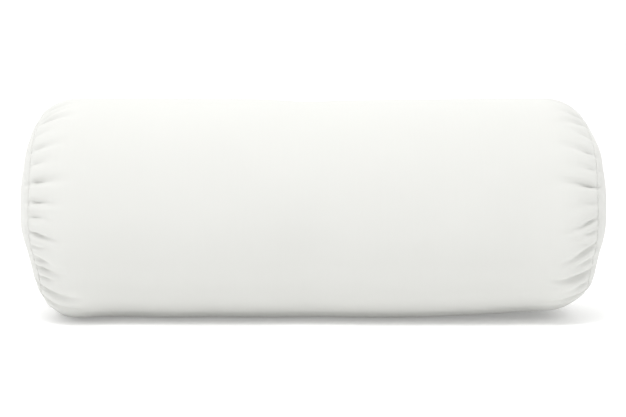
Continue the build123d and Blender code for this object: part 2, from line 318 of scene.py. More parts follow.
def enamel_material():
    """White enamel on cast zinc: an orange-peel surface, and grey metal where the corners have rubbed."""
    material, tree, shader = new_material("white_enamel")
    place_of = tree.nodes.new("ShaderNodeTexCoord")
    peel = place(tree, "ShaderNodeTexNoise", Scale=1400.0, Detail=1.0)
    rub = place(tree, "ShaderNodeTexNoise", Scale=420.0, Detail=4.0, Roughness=0.7)
    for texture in (peel, rub):
        tree.links.new(place_of.outputs["Object"], texture.inputs["Vector"])
    edge = tree.nodes.new("ShaderNodeNewGeometry")
    worn = math_node(tree, "MULTIPLY", edge.outputs["Pointiness"], rub.outputs[0])
    ramp = tree.nodes.new("ShaderNodeValToRGB")
    ramp.color_ramp.elements[0].position = 0.41
    ramp.color_ramp.elements[1].position = 0.45
    tree.links.new(worn, ramp.inputs[0])
    colour = two_tones(tree, ramp.outputs[0], (0.66, 0.66, 0.645), (0.40, 0.40, 0.41))
    tree.links.new(colour, shader.inputs["Base Color"])
    tree.links.new(ramp.outputs[0], shader.inputs["Metallic"])
    rough = math_node(tree, "MULTIPLY_ADD", rub.outputs[0], 0.2)
    rough.node.inputs[2].default_value = 0.2
    tree.links.new(rough, shader.inputs["Roughness"])
    shader.inputs["Coat Weight"].default_value = 0.3
    bumped(tree, shader, [(peel.outputs[0], 0.12, 0.1 * MM)])
    return material


def fibre_material():
    """Hollow polyester fibre: fine tangled hairs in two whites."""
    material, tree, shader = new_material("polyester_fibre")
    place_of = tree.nodes.new("ShaderNodeTexCoord")
    tufts = place(tree, "ShaderNodeTexNoise", Scale=60.0, Detail=6.0, Roughness=0.7, Distortion=2.5)
    hairs = place(tree, "ShaderNodeTexWave", Scale=260.0, Distortion=30.0, Detail=4.0)
    for texture in (tufts, hairs):
        tree.links.new(place_of.outputs["Object"], texture.inputs["Vector"])
    colour = two_tones(tree, tufts.outputs[0], (0.70, 0.70, 0.70), (0.82, 0.82, 0.82))
    tree.links.new(colour, shader.inputs["Base Color"])
    shader.inputs["Roughness"].default_value = 0.95
    shader.inputs["Sheen Weight"].default_value = 0.4
    bumped(tree, shader, [(tufts.outputs[0], 0.8, 2 * MM), (hairs.outputs["Fac"], 0.5, 0.4 * MM)])
    return material


# Two close tones of each cloth.
COTTON_WHITE = ((0.66, 0.662, 0.636), (0.69, 0.692, 0.666))
UNBLEACHED = ((0.66, 0.64, 0.58), (0.73, 0.71, 0.65))
TAPE_WHITE = ((0.66, 0.66, 0.65), (0.73, 0.73, 0.72))
RIBBON_WHITE = ((0.72, 0.72, 0.71), (0.79, 0.79, 0.78))

MATERIALS = {
    "cover_cotton": cloth_material("cover_cotton", COTTON_WHITE, 2600, 0.35, 55),
    "inner_cotton": cloth_material("inner_cotton", UNBLEACHED, 1800, 0.5, 70),
    "zip_tape": cloth_material("zip_tape", TAPE_WHITE, 2000, 0.8, 120, roughness=0.7),
    "label_ribbon": cloth_material("label_ribbon", RIBBON_WHITE, 4000, 0.2, 60, 0.3, 0.45),
    "sewing_thread": thread_material(),
    "zip_nylon": nylon_material(),
    "zip_metal": enamel_material(),
    "polyester_fibre": fibre_material(),
}


# ---------------------------------------------------------------- shared mesh work


def finish_piece(name, mesh, slot, nodes, body="pillow"):
    """Makes a mesh into a piece of the pillow, in place of its CAD nodes."""
    for face in mesh.polygons:
        face.use_smooth = True
    mesh.materials.append(MATERIALS[slot])
    piece = bpy.data.objects.new(name, mesh)
    bpy.context.scene.collection.objects.link(piece)
    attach(piece, body)
    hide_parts(*nodes)
    return piece


def to_mesh(bm, name):
    """Turns a finished bmesh into a mesh."""
    mesh = bpy.data.meshes.new(name)
    bm.to_mesh(mesh)
    bm.free()
    return mesh


def on_wrap(x, across, height):
    """A point on the wrap: its x, its distance round from the zip, and its height above the cover's face."""
    angle = ZIP_ANGLE + across / WRAP_RADIUS
    radius = WRAP_RADIUS + height
    return Vector((x, radius * cos(angle), AXIS_HEIGHT + radius * sin(angle)))


def set_cloth_uv(bm, place_of):
    """Gives each corner its place on the cloth, in metres."""
    layer = bm.loops.layers.uv.new("cloth")
    for face in bm.faces:
        for loop in face.loops:
            loop[layer].uv = place_of(loop.vert.co)


def thread_mesh(name, runs, radius, smooth=False):
    """Threads of one thickness along lists of points, as one mesh of six-sided tubes."""
    curve = bpy.data.curves.new(name, "CURVE")
    curve.dimensions = "3D"
    curve.bevel_depth = radius
    curve.bevel_resolution = 1
    curve.use_fill_caps = True
    curve.resolution_u = 3
    for points in runs:
        spline = curve.splines.new("NURBS" if smooth else "POLY")
        spline.points.add(len(points) - 1)
        for point, at in zip(spline.points, points):
            point.co = (*at, 1)
        if smooth:
            spline.order_u = 3
            spline.use_endpoint_u = True
    holder = bpy.data.objects.new(name, curve)
    mesh = bpy.data.meshes.new_from_object(holder)
    bpy.data.objects.remove(holder)
    bpy.data.curves.remove(curve)
    mesh.materials.clear()
    mesh.name = name
    return mesh


# ---------------------------------------------------------------- the cover's cloth


def wrap_rows():
    """Distances along the wrap of the mesh's rows, from the right seam to the left one."""
    rows = [WRAP_HALF]
    while rows[-1] > COARSE_ROW:
        grade = (WRAP_HALF - rows[-1] - FINE_REACH) / GRADING
        rows.append(rows[-1] - FINE_ROW - (COARSE_ROW - FINE_ROW) * min(1, max(0, grade)))
    rows[-1] = 0
    return rows + [-row for row in rows[-2::-1]]


def wrap_point(along):
    """The wrap's outline at a distance along it: (x, radius)."""
    past = (abs(along) - SHOULDER_X) / SHOULDER_RADIUS
    if past <= 0:
        return along, WRAP_RADIUS
    x = SHOULDER_X + SHOULDER_RADIUS * sin(past)
    return copysign(x, along), WRAP_RADIUS - SHOULDER_RADIUS * (1 - cos(past))


def wrap_distance(x):
    """The distance along the wrap of a point at x."""
    if abs(x) <= SHOULDER_X:
        return x
    past = asin(min(1, (abs(x) - SHOULDER_X) / SHOULDER_RADIUS))
    return copysign(SHOULDER_X + SHOULDER_RADIUS * past, x)


def square_to_disc(a, b):
    """Maps a square onto a disc so that the square's sides become equal arcs. Returns (radius, angle)."""
    if abs(a) < 1e-9 and abs(b) < 1e-9:
        return 0.0, 0.0
    if abs(a) >= abs(b):
        return abs(a), pi / 4 * b / a + (0 if a > 0 else pi)
    return abs(b), pi / 2 - pi / 4 * a / b + (0 if b > 0 else pi)


def blank_cover():
    """The cover's smooth form about the X axis: a spun wrap and two round panels, joined at the seams."""
    bm = bmesh.new()
    panel = bm.faces.layers.int.new("panel")
    outline = []
    for along in wrap_rows():
        x, radius = wrap_point(along)
        outline.append(bm.verts.new((x, 0, radius)))
    for first, second in zip(outline, outline[1:]):
        bm.edges.new((first, second))
    bmesh.ops.spin(
        bm,
        geom=bm.verts[:] + bm.edges[:],
        cent=(0, 0, 0),
        axis=(1, 0, 0),
        angle=tau,
        steps=STEPS_ROUND,
        use_merge=True,
    )
    for side, label in ((-1, LEFT_END), (1, RIGHT_END)):
        quarter = STEPS_ROUND // 4
        before = set(bm.faces)
        grid = bmesh.ops.create_grid(bm, x_segments=quarter, y_segments=quarter, size=1.0)
        for vert in grid["verts"]:
            share, angle = square_to_disc(vert.co.x, vert.co.y)
            radius = share * SEAM_RADIUS
            x = END_CENTRE_X + sqrt(END_RADIUS**2 - radius**2)
            vert.co = (side * x, radius * sin(angle), radius * cos(angle))
        for face in set(bm.faces) - before:
            face[panel] = label
    bmesh.ops.remove_doubles(bm, verts=bm.verts[:], dist=0.3 * MM)
    bmesh.ops.recalc_face_normals(bm, faces=bm.faces[:])
    cloth_uv(bm, panel)
    return bm


def cloth_uv(bm, panel):
    """The wrap's UV runs round and along it, and an end panel's across it, all in metres."""
    layer = bm.loops.layers.uv.new("cloth")
    for face in bm.faces:
        middle = face.calc_center_median()
        middle_turn = atan2(middle.z, middle.y)
        for loop in face.loops:
            co = loop.vert.co
            if face[panel] != WRAP:
                loop[layer].uv = (co.y, co.z)
                continue
            turn = atan2(co.z, co.y)
            turn += round((middle_turn - turn) / tau) * tau
            loop[layer].uv = (turn * WRAP_RADIUS, wrap_distance(co.x))


# Gathers on the front of each end: (degrees above the front's middle, reach in mm, depth, slant downwards).
FRONT_GATHERS = {
    -1: (
        (52, 14, 0.5, 0.0),
        (41, 20, 0.7, 0.0),
        (32, 16, 0.7, 0.1),
        (21, 24, 1.1, 0.05),
        (10, 21, 1.0, 0.13),
        (2, 16, 0.8, 0.15),
        (-7, 22, 1.1, 0.25),
        (-15, 14, 0.6, 0.2),
        (-22, 18, 0.9, 0.3),
        (-29, 22, 1.0, 0.1),
        (-36, 16, 0.7, -0.1),
        (-44, 40, 0.9, 0.08),
        (-55, 44, 0.9, 0.05),
    ),
    1: (
        (50, 14, 0.5, -0.1),
        (38, 20, 0.8, -0.1),
        (28, 14, 0.6, 0.0),
        (18, 26, 1.1, -0.07),
        (9, 14, 0.6, 0.2),
        (1, 20, 1.0, 0.5),
        (-6, 14, 0.6, 0.4),
        (-14, 28, 1.1, 0.54),
        (-23, 16, 0.7, 0.3),
        (-32, 36, 1.0, 0.1),
        (-41, 18, 0.7, 0.15),
        (-51, 38, 1.0, 0.1),
        (-62, 24, 0.7, 0.1),
    ),
}
FRONT_REACH_SCALE = 1.15
FRONT_DEEPEST = 6.1 * MM

# The other gathers of each end, spread round it with a little scatter.
GATHERS_ROUND = 42
FRONT_SPAN = radians(60)
SCATTER = 0.34
USUAL_REACHES = (14, 18, 22, 30, 40)

# The strip along the zip stays flat, and the gathers fade towards it.
HEMMED_HALF_WIDTH = 18 * MM
HEMMED_PAST_TAPE = 4 * MM
HEM_FADE = 14 * MM


def gathers(side, random):
    """The creases of one end, fading out from the seam: (angle, reach, depth, half-width, slant)."""
    creases = []
    for index in range(GATHERS_ROUND):
        angle = (index + random.uniform(-SCATTER, SCATTER)) / GATHERS_ROUND * tau
        reach = random.choice(USUAL_REACHES) * random.uniform(0.95, 1.4) * MM
        depth = random.uniform(2.8, 6.6) * MM
        half_width = random.uniform(2.3, 3.6) * MM
        if abs(angle - pi) > FRONT_SPAN:
            creases.append((angle, reach, depth, half_width, random.gauss(0, 0.25)))
    for above, reach, depth, slant in FRONT_GATHERS[side]:
        half_width = random.uniform(2.3, 3.0) * MM
        angle = radians(180 - above)
        creases.append((angle, reach * FRONT_REACH_SCALE * MM, depth * FRONT_DEEPEST, half_width, slant))
    return creases


def seam_distance(co):
    """A point's distance from the nearer seam: positive on the wrap, negative on an end panel."""
    radius = hypot(co.y, co.z)
    if abs(co.x) > SEAM_X - 0.01 * MM and radius < SEAM_RADIUS + 0.01 * MM:
        return radius - SEAM_RADIUS
    return WRAP_HALF - abs(wrap_distance(co.x))


def crease_depth(co, creases):
    """How deep the gathers press in at a point of the blank.

    A gather is shallow at the stitches, deepest a few millimetres from them, and widens as it fades.
    It is shorter and shallower on the end panel than on the wrap.
    """
    away = seam_distance(co)
    if not -25 * MM < away < 130 * MM:
        return 0.0
    shorter, shallower = (3.0, 0.45) if away < 0 else (1.0, 1.0)
    away = abs(away) * shorter
    at_stitches = 1 - 0.7 * exp(-((away / (5.5 * MM)) ** 2))
    turn = atan2(co.z, co.y)
    depth = 0.0
    for angle, reach, deepest, half_width, slant in creases:
        offset = ((turn - angle + pi) % tau - pi) * WRAP_RADIUS - slant * away
        spread = half_width * (1 + 0.6 * away / reach)
        if abs(offset) > 3 * spread:
            continue
        fade = exp(-((away / reach) ** 1.8)) * at_stitches
        depth += deepest * fade * exp(-((offset / spread) ** 2)) * shallower
    return depth


def zip_distance(co):
    """How far a point about the axis lies from the hemmed strip that carries the zip: 0 on the strip."""
    around = ((atan2(co.z, co.y) - ZIP_ANGLE + pi) % tau - pi) * WRAP_RADIUS
    past_side = max(abs(around) - HEMMED_HALF_WIDTH, 0.0)
    past_end = max(abs(co.x) - TAPE_HALF_LENGTH - HEMMED_PAST_TAPE, 0.0)
    return hypot(past_side, past_end)


def gathered_cover():
    """The cover before it is stuffed: creased at the seams, faintly uneven elsewhere, standing on Z = 0.

    Returns the bmesh, the smooth form's outward direction at each vertex, and whether each vertex is held:
    at the seams, the zip and the flat underside.
    """
    bm = blank_cover()
    bm.normal_update()
    outward = np.array([vert.normal for vert in bm.verts])
    random = Random(7)
    creases = {side: gathers(side, random) for side in (-1, 1)}
    moves, held = [], []
    for vert in bm.verts:
        at_seam = abs(seam_distance(vert.co)) < 0.02 * MM
        loose = min(zip_distance(vert.co) / HEM_FADE, 1.0)
        uneven = noise.noise(vert.co * 9) * 1.2 * MM + noise.noise(vert.co * 25) * 0.5 * MM
        if at_seam:
            move = uneven / 2 - 1.2 * MM
        else:
            move = uneven - crease_depth(vert.co, creases[1 if vert.co.x > 0 else -1])
        moves.append(vert.normal * move * loose)
        held.append(at_seam or loose == 0.0)
    for index, (vert, move) in enumerate(zip(bm.verts, moves)):
        vert.co += move
        vert.co.z = max(0.0, vert.co.z + AXIS_HEIGHT)
        on_floor = vert.co.z < 0.4 * MM and abs(vert.co.x) < 200 * MM
        held[index] = held[index] or on_floor
    return bm, outward, np.array(held)


def stuff_cover(mesh, held):
    """Blows the cover up with cloth simulation, so that the cloth between its creases fills out.

    The solver works best on cloth several metres long, so the cover is enlarged meanwhile.
    Returns where each vertex ends.
    """
    enlarged = 10.0
    frames = 20
    count = len(mesh.vertices)
    start = np.empty(count * 3)
    mesh.vertices.foreach_get("co", start)
    mesh.vertices.foreach_set("co", start * enlarged)
    mesh.update()
    start = start.reshape(-1, 3)
    cover = bpy.data.objects.new("stuffing", mesh)
    bpy.context.scene.collection.objects.link(cover)
    pins = cover.vertex_groups.new(name="held")
    pins.add([int(i) for i in np.nonzero(held)[0]], 1.0, "REPLACE")
    loose = cover.vertex_groups.new(name="gathered")
    radius = np.hypot(start[:, 1], start[:, 2] - AXIS_HEIGHT)
    fullness = np.clip((np.abs(start[:, 0]) - 195 * MM) / (45 * MM), 0, 1)
    fullness *= np.clip((radius - 70 * MM) / (15 * MM), 0, 1)
    for index in np.nonzero(fullness > 0)[0]:
        loose.add([int(index)], float(fullness[index]), "REPLACE")

    table_mesh = bpy.data.meshes.new("table")
    table_bm = bmesh.new()
    bmesh.ops.create_grid(table_bm, x_segments=1, y_segments=1, size=enlarged)
    table_bm.to_mesh(table_mesh)
    table_bm.free()
    table = bpy.data.objects.new("table", table_mesh)
    bpy.context.scene.collection.objects.link(table)
    table.location.z = -2 * MM * enlarged
    table.modifiers.new("solid", "COLLISION")
    table.collision.thickness_outer = 2 * MM * enlarged
    table.collision.cloth_friction = 20

    cloth = cover.modifiers.new("cloth", "CLOTH")
    settings = cloth.settings
    settings.quality = 5
    settings.tension_stiffness = 80
    settings.compression_stiffness = 15
    settings.shear_stiffness = 5
    settings.bending_stiffness = 0.1
    settings.use_pressure = True
    settings.uniform_pressure_force = 10
    settings.vertex_group_mass = "held"
    settings.vertex_group_shrink = "gathered"
    settings.shrink_max = -0.05
    settings.effector_weights.gravity = 0
    cloth.collision_settings.distance_min = 0.5 * MM * enlarged
    cloth.collision_settings.use_self_collision = False
    scene = bpy.context.scene
    cloth.point_cache.frame_start = 1
    cloth.point_cache.frame_end = frames
    for frame_number in range(1, frames + 1):
        scene.frame_set(frame_number)
    shaped = cover.evaluated_get(bpy.context.evaluated_depsgraph_get()).to_mesh()
    ended = np.empty(count * 3)
    shaped.vertices.foreach_get("co", ended)
    bpy.data.objects.remove(cover)
    bpy.data.objects.remove(table)
    scene.frame_set(1)
    return ended.reshape(-1, 3) / enlarged


# Broad hollows on the front, in metres: (x, height where deepest, half-width, how far up it fades, depth).
FRONT_HOLLOWS = (
    (-0.005, 0.058, 0.048, 0.044, 0.0052),
    (-0.165, 0.046, 0.044, 0.038, 0.0048),
    (-0.090, 0.042, 0.040, 0.036, 0.0024),
    (0.190, 0.070, 0.030, 0.040, 0.0022),
    (0.095, 0.040, 0.050, 0.034, 0.0020),
)


def slack(points):
    """Soft hollows of an uneven filling: how far each point sinks towards the axis.

    The top line sags a little along its middle, with one narrower dip, and the front has its own hollows.
    """
    x, y, z = points.T
    up = (z - AXIS_HEIGHT) / WRAP_RADIUS
    front = np.clip(-y / WRAP_RADIUS, 0, 1)
    top = np.clip(up, 0, 1) ** 2
    sunk = 1.6 * MM * np.exp(-((x / 0.15) ** 4)) * top
    sunk += 2.2 * MM * np.exp(-(((x + 0.006) / 0.03) ** 2)) * top
    for centre, height, wide, high, depth in FRONT_HOLLOWS:
        above = np.maximum(z - height, 0)
        shape = np.exp(-(((x - centre) / wide) ** 2) - ((above / high) ** 2))
        sunk += depth * shape * front
    return sunk


def ramp(values, start, end):
    """Rises smoothly from 0 at start to 1 at end."""
    share = np.clip((values - start) / (end - start), 0, 1)
    return share * share * (3 - 2 * share)


def settle(points):
    """Lets the stuffed cover settle, in place.

    The filling's hollows sink in, except on the zip's strip, and the base spreads. The end seams move
    outwards, the ends draw in at their top and bottom, and the right end's underside lifts a little.
    """
    x, y, z = points.T  # views, so they change with the points
    radius = np.hypot(y, z - AXIS_HEIGHT)
    turn = np.arctan2(z - AXIS_HEIGHT, y)
    from_zip = np.abs((turn - ZIP_ANGLE + pi) % tau - pi) * WRAP_RADIUS
    past_zip = ramp(np.abs(x), 222 * MM, 240 * MM)
    free = np.maximum(ramp(from_zip, HEMMED_HALF_WIDTH, 45 * MM), past_zip)
    sunk = slack(points) * ramp(-np.abs(x), -240 * MM, -200 * MM) * free
    share = 1 - sunk / np.maximum(radius, 10 * MM)
    y *= share
    z[:] = AXIS_HEIGHT + (z - AXIS_HEIGHT) * share

    widest_base = 0.17
    y *= 1 + widest_base * ramp(-z, -60 * MM, -6 * MM)

    seam_push, apex_pull = 3.5 * MM, 0.6 * MM
    near_seam = np.exp(-(((np.abs(x) - SEAM_X) / (22 * MM)) ** 2)) * ramp(radius, 55 * MM, 80 * MM)
    near_apex = ramp(-radius, -75 * MM, -20 * MM) * ramp(np.abs(x), 255 * MM, 262 * MM)
    x += np.sign(x) * (seam_push * near_seam - apex_pull * near_apex)

    low = ramp(AXIS_HEIGHT - z, 10 * MM, 60 * MM) * np.where(x < 0, 0.026, 0.018)
    high = ramp(z - AXIS_HEIGHT, 50 * MM, 95 * MM) * np.where(x < 0, 0.002, 0.018)
    x *= 1 - (low + high) * ramp(np.abs(x), 200 * MM, 245 * MM)

    right_lift = 9 * MM
    towards_right = np.clip((x - 30 * MM) / (215 * MM), 0, 1.1) ** 2.2
    z += right_lift * towards_right * ramp(-z, -45 * MM, -2 * MM)
    z[:] = np.maximum(z, 0)
    return points


def shaped_cover():
    """The stuffed cover as one closed bmesh, and the smooth form's outward direction at each vertex."""
    bm, outward, held = gathered_cover()
    mesh = to_mesh(bm, "cover_cloth")
    points = stuff_cover(mesh, held)
    mesh.vertices.foreach_set("co", settle(points).ravel())
    mesh.update()
    cover = bmesh.new()
    cover.from_mesh(mesh)
    return cover, outward


def layer_under(cover, outward, inset, least, floor, passes, lumps=0.0):
    """A closed layer inside the cover. It is smoother, and stays at least a given depth under it."""
    bm = cover.copy()
    above = np.array([vert.co for vert in bm.verts])
    for _ in range(passes):
        every_way = {"use_axis_x": True, "use_axis_y": True, "use_axis_z": True}
        bmesh.ops.smooth_vert(bm, verts=bm.verts[:], factor=0.5, **every_way)
    smooth = np.array([vert.co for vert in bm.verts])
    proud = ((smooth - above) * outward).sum(axis=1)
    depth = np.maximum(inset, proud + least)
    for vert, place, out, down in zip(bm.verts, smooth, outward, depth):
        extra = lumps * (1 + noise.noise(Vector(place) * 40)) if lumps else 0.0
        vert.co = place - out * (down + extra)
        vert.co.z = max(vert.co.z, floor)
    return bm


# ---------------------------------------------------------------- panels, seams and the hemmed slit


def split_panel(whole, label):
    """One panel of a closed layer."""
    bm = whole.copy()
    panel = bm.faces.layers.int["panel"]
    others = [face for face in bm.faces if face[panel] != label]
    bmesh.ops.delete(bm, geom=others, context="FACES")
    return bm


def turn_in_allowance(bm):
    """Turns a panel's seam allowance in towards the axis."""
    rim = [edge for edge in bm.edges if edge.is_boundary]
    made = bmesh.ops.extrude_edge_only(bm, edges=rim)
    for vert in made["geom"]:
        if isinstance(vert, bmesh.types.BMVert):
            share = 1 - SEAM_ALLOWANCE / hypot(vert.co.y, vert.co.z - AXIS_HEIGHT)
            vert.co.y *= share
            vert.co.z = AXIS_HEIGHT + (vert.co.z - AXIS_HEIGHT) * share


def face_outwards(bm):
    """Makes every face of a panel point out of the pillow."""
    middle = Vector((0, 0, AXIS_HEIGHT))
    bmesh.ops.recalc_face_normals(bm, faces=bm.faces[:])
    farthest = max(bm.faces, key=lambda face: (face.calc_center_median() - middle).length)
    if farthest.normal.dot(farthest.calc_center_median() - middle) < 0:
        bmesh.ops.reverse_faces(bm, faces=bm.faces[:])


def across_zip(co):
    """A point's distance round the wrap from the zip's centre line."""
    turn = atan2(co.z - AXIS_HEIGHT, co.y) - ZIP_ANGLE
    return ((turn + pi) % tau - pi) * WRAP_RADIUS


def cut_slit(bm, half_length, half_width):
    """Opens the rectangle in the wrap that the zip shows through."""

    def nearby():
        """The faces around the rectangle, with their edges and vertices."""
        faces = []
        for face in bm.faces:
            middle = face.calc_center_median()
            if abs(across_zip(middle)) < 2 * half_width and abs(middle.x) < half_length + COARSE_ROW:
                faces.append(face)
        edges = {edge for face in faces for edge in face.edges}
        verts = {vert for face in faces for vert in face.verts}
        return faces + list(edges) + list(verts)

    for side in (-1, 1):
        angle = ZIP_ANGLE + side * half_width / WRAP_RADIUS
        edge_plane = (0, -sin(angle), cos(angle))
        bmesh.ops.bisect_plane(bm, geom=nearby(), plane_co=(0, 0, AXIS_HEIGHT), plane_no=edge_plane)
        bmesh.ops.bisect_plane(bm, geom=nearby(), plane_co=(side * half_length, 0, 0), plane_no=(1, 0, 0))
    inside = []
    for face in bm.faces:
        middle = face.calc_center_median()
        if abs(across_zip(middle)) < half_width and abs(middle.x) < half_length:
            inside.append(face)
    bmesh.ops.delete(bm, geom=inside, context="FACES")


def hem_slit(bm):
    """Rolls the slit's edges under in a tight fold, and lays the hem back beneath the cloth."""
    fold = COVER_CLOTH
    end_reach = 3 * MM
    cut_slit(bm, SLOT_HALF_LENGTH + fold, SLOT_HALF_WIDTH + fold)
    edges = []
    for edge in bm.edges:
        middle = (edge.verts[0].co + edge.verts[1].co) / 2
        if edge.is_boundary and abs(across_zip(middle)) < 2 * HEM_WIDTH and abs(middle.x) < SEAM_X - 20 * MM:
            edges.append(edge)
    turns = (pi / 4, pi / 2, 3 * pi / 4, pi)
    steps = [(fold - fold * sin(turn), fold * cos(turn) - fold) for turn in turns]
    steps.append((HEM_WIDTH - SLOT_HALF_WIDTH, -2 * fold))
    before = fold
    for out, height in steps:
        made = bmesh.ops.extrude_edge_only(bm, edges=edges)
        edges = [item for item in made["geom"] if isinstance(item, bmesh.types.BMEdge)]
        for vert in {vert for edge in edges for vert in edge.verts}:
            across = across_zip(vert.co)
            x = vert.co.x
            if abs(abs(across) - SLOT_HALF_WIDTH - before) < 0.05 * MM:
                across = copysign(SLOT_HALF_WIDTH + out, across)
            if abs(abs(x) - SLOT_HALF_LENGTH - min(before, end_reach)) < 0.05 * MM:
                x = copysign(SLOT_HALF_LENGTH + min(out, end_reach), x)
            vert.co = on_wrap(x, across, height)
        before = out


def cloth_thickness(piece, thickness):
    """Gives a cloth piece its thickness, inwards."""
    solid = piece.modifiers.new("thickness", "SOLIDIFY")
    solid.thickness = thickness
    solid.offset = -1


def sew_bag(whole, names, slot, cloth, nodes, slit=False):
    """Makes the wrap and both end panels of one closed layer."""
    for label, name, node in zip((WRAP, LEFT_END, RIGHT_END), names, nodes):
        panel = split_panel(whole, label)
        turn_in_allowance(panel)
        if slit and label == WRAP:
            hem_slit(panel)
        face_outwards(panel)
        piece = finish_piece(name, to_mesh(panel, name), slot, [node])
        cloth_thickness(piece, cloth)


def seam_ring(whole, outward, side):
    """The points of one end's seam, in order round it, with their outward directions."""
    panel = whole.faces.layers.int["panel"]
    ring = []
    for vert in whole.verts:
        labels = {face[panel] for face in vert.link_faces}
        if len(labels) > 1 and vert.co.x * side > 0:
            turn = atan2(vert.co.z - AXIS_HEIGHT, vert.co.y)
            ring.append((turn, vert.co.copy(), Vector(outward[vert.index])))
    return sorted(ring, key=lambda entry: entry[0])


def seam_stitches(name, whole, outward, side, count, node):
    """Short stitches along an end seam, each bridging the groove and diving back into the cloth."""
    ring = seam_ring(whole, outward, side)
    runs = []
    for stitch in range(count):
        run = []
        for part, rise in ((-0.36, -0.3), (-0.24, 0.1), (0.24, 0.1), (0.36, -0.3)):
            at = (stitch + 0.5 + part) / count * len(ring)
            index = int(at) % len(ring)
            first, second = ring[index], ring[(index + 1) % len(ring)]
            place = first[1].lerp(second[1], at % 1)
            run.append(place + first[2].lerp(second[2], at % 1).normalized() * rise * MM)
        runs.append(run)
    mesh = thread_mesh(name, runs, 0.22 * MM)
    finish_piece(name, mesh, "sewing_thread", [node])


def build_cover(cover, outward):
    """The cover: its wrap with the hemmed slit, its end panels and the thread of its seams."""
    names = ("cover_wrap", "cover_end_left", "cover_end_right")
    nodes = ("cover_wrap_panel", "cover_end_panel_left", "cover_end_panel_right")
    sew_bag(cover, names, "cover_cotton", COVER_CLOTH, nodes, slit=True)
    for name, side in (("left", -1), ("right", 1)):
        seam_stitches(f"cover_stitches_{name}", cover, outward, side, 188, f"cover_seam_thread_{name}")


# ---------------------------------------------------------------- the inner pillow


def build_inner_pillow(cover, outward):
    """The stuffed inner case, closed by hand, and its filling."""
    case = layer_under(cover, outward, CASE_INSET, 1.5 * MM, CASE_FLOOR, 3)
    names = ("inner_wrap", "inner_end_left", "inner_end_right")
    nodes = ("inner_case_wrap_panel", "inner_case_end_panel_left", "inner_case_end_panel_right")
    sew_bag(case, names, "inner_cotton", CASE_CLOTH, nodes)
    for name, side in (("left", -1), ("right", 1)):
        seam_stitches(f"inner_stitches_{name}", case, outward, side, 182, f"inner_case_seam_thread_{name}")
    closing_stitches(case)
    fill = layer_under(cover, outward, FILL_INSET, 2.5 * MM, FILL_FLOOR, 8, lumps=0.5 * MM)
    face_outwards(fill)
    piece = finish_piece("filling", to_mesh(fill, "filling"), "polyester_fibre", ["fibre_fill"])


def closing_stitches(case):
    """Slanting hand stitches over the gap that the filling went in through."""
    surface = BVHTree.FromBMesh(case)
    random = Random(11)
    pitch = 4.5 * MM
    count = int(2 * CLOSING_HALF_LENGTH / pitch)
    runs = []
    for stitch in range(count):
        x = -CLOSING_HALF_LENGTH + (stitch + 0.5) * pitch
        reach = random.uniform(0.9, 1.3) * MM
        run = []
        for share, rise in ((-1, -0.3), (-0.6, 0.12), (0.6, 0.12), (1, -0.3)):
            across = CLOSING_ACROSS + share * reach
            aim = on_wrap(0, across, 0) - Vector((0, 0, AXIS_HEIGHT))
            start = Vector((x + share * 1.2 * MM, 0, AXIS_HEIGHT))
            hit = surface.ray_cast(start, aim)[0]
            run.append(hit + aim.normalized() * rise * MM)
        runs.append(run)
    mesh = thread_mesh("closing_stitches", runs, 0.2 * MM)
    finish_piece("closing_stitches", mesh, "sewing_thread", ["inner_case_closing_stitches"])


# ---------------------------------------------------------------- the zip


def cloth_strip(name, along, across, height, cells, slot, thickness, node, wave=0.0):
    """A strip of ribbon or tape that follows the wrap, with its edges given along and across the zip."""
    bm = bmesh.new()
    bmesh.ops.create_grid(bm, x_segments=cells[0], y_segments=cells[1], size=0.5)
    for vert in bm.verts:
        vert.co.x = along[0] + (along[1] - along[0]) * (vert.co.x + 0.5)
        vert.co.y = across[0] + (across[1] - across[0]) * (vert.co.y + 0.5)
    set_cloth_uv(bm, lambda co: (co.x, co.y))
    for vert in bm.verts:
        ripple = wave * (sin(vert.co.x * 260 + vert.co.y * 90) - 1) / 2
        vert.co = on_wrap(vert.co.x, vert.co.y, height + ripple)
    bmesh.ops.reverse_faces(bm, faces=bm.faces[:])
    piece = finish_piece(name, to_mesh(bm, name), slot, [node])
    cloth_thickness(piece, thickness)


def coil(name, side, start, node):
    """One nylon coil, a flattened spring, with the two sewing lines that hold it to its tape."""
    middle = (COIL_EDGES[0] + COIL_EDGES[1]) / 2
    reach = (COIL_EDGES[1] - COIL_EDGES[0]) / 2 - COIL_WIRE
    low, high = COIL_HEIGHTS
    rise = (high - low) / 2 - COIL_WIRE
    turns = int((2 * COIL_HALF_LENGTH - 2 * MM) / COIL_PITCH)
    wire = []
    for step in range(turns * 8 + 1):
        turn = step / 8
        x = -COIL_HALF_LENGTH + 0.6 * MM + start + turn * COIL_PITCH
        across = side * (middle - reach * cos(tau * turn))
        wire.append(on_wrap(x, across, (low + high) / 2 + rise * sin(tau * turn)))
    finish_piece(name, thread_mesh(name, [wire], COIL_WIRE), "zip_nylon", [node])

    lines = []
    for line in (1.35 * MM, 2.15 * MM):
        points = []
        for step in range(turns * 2 + 1):
            x = -COIL_HALF_LENGTH + 0.6 * MM + start + (step / 2 + 0.25) * COIL_PITCH
            points.append(on_wrap(x, side * line, (0.22 if step % 2 == 0 else 0.02) * MM))
        lines.append(points)
    name = name.replace("coil", "coil_sewing")
    finish_piece(name, thread_mesh(name, lines, 0.12 * MM), "sewing_thread", [node])


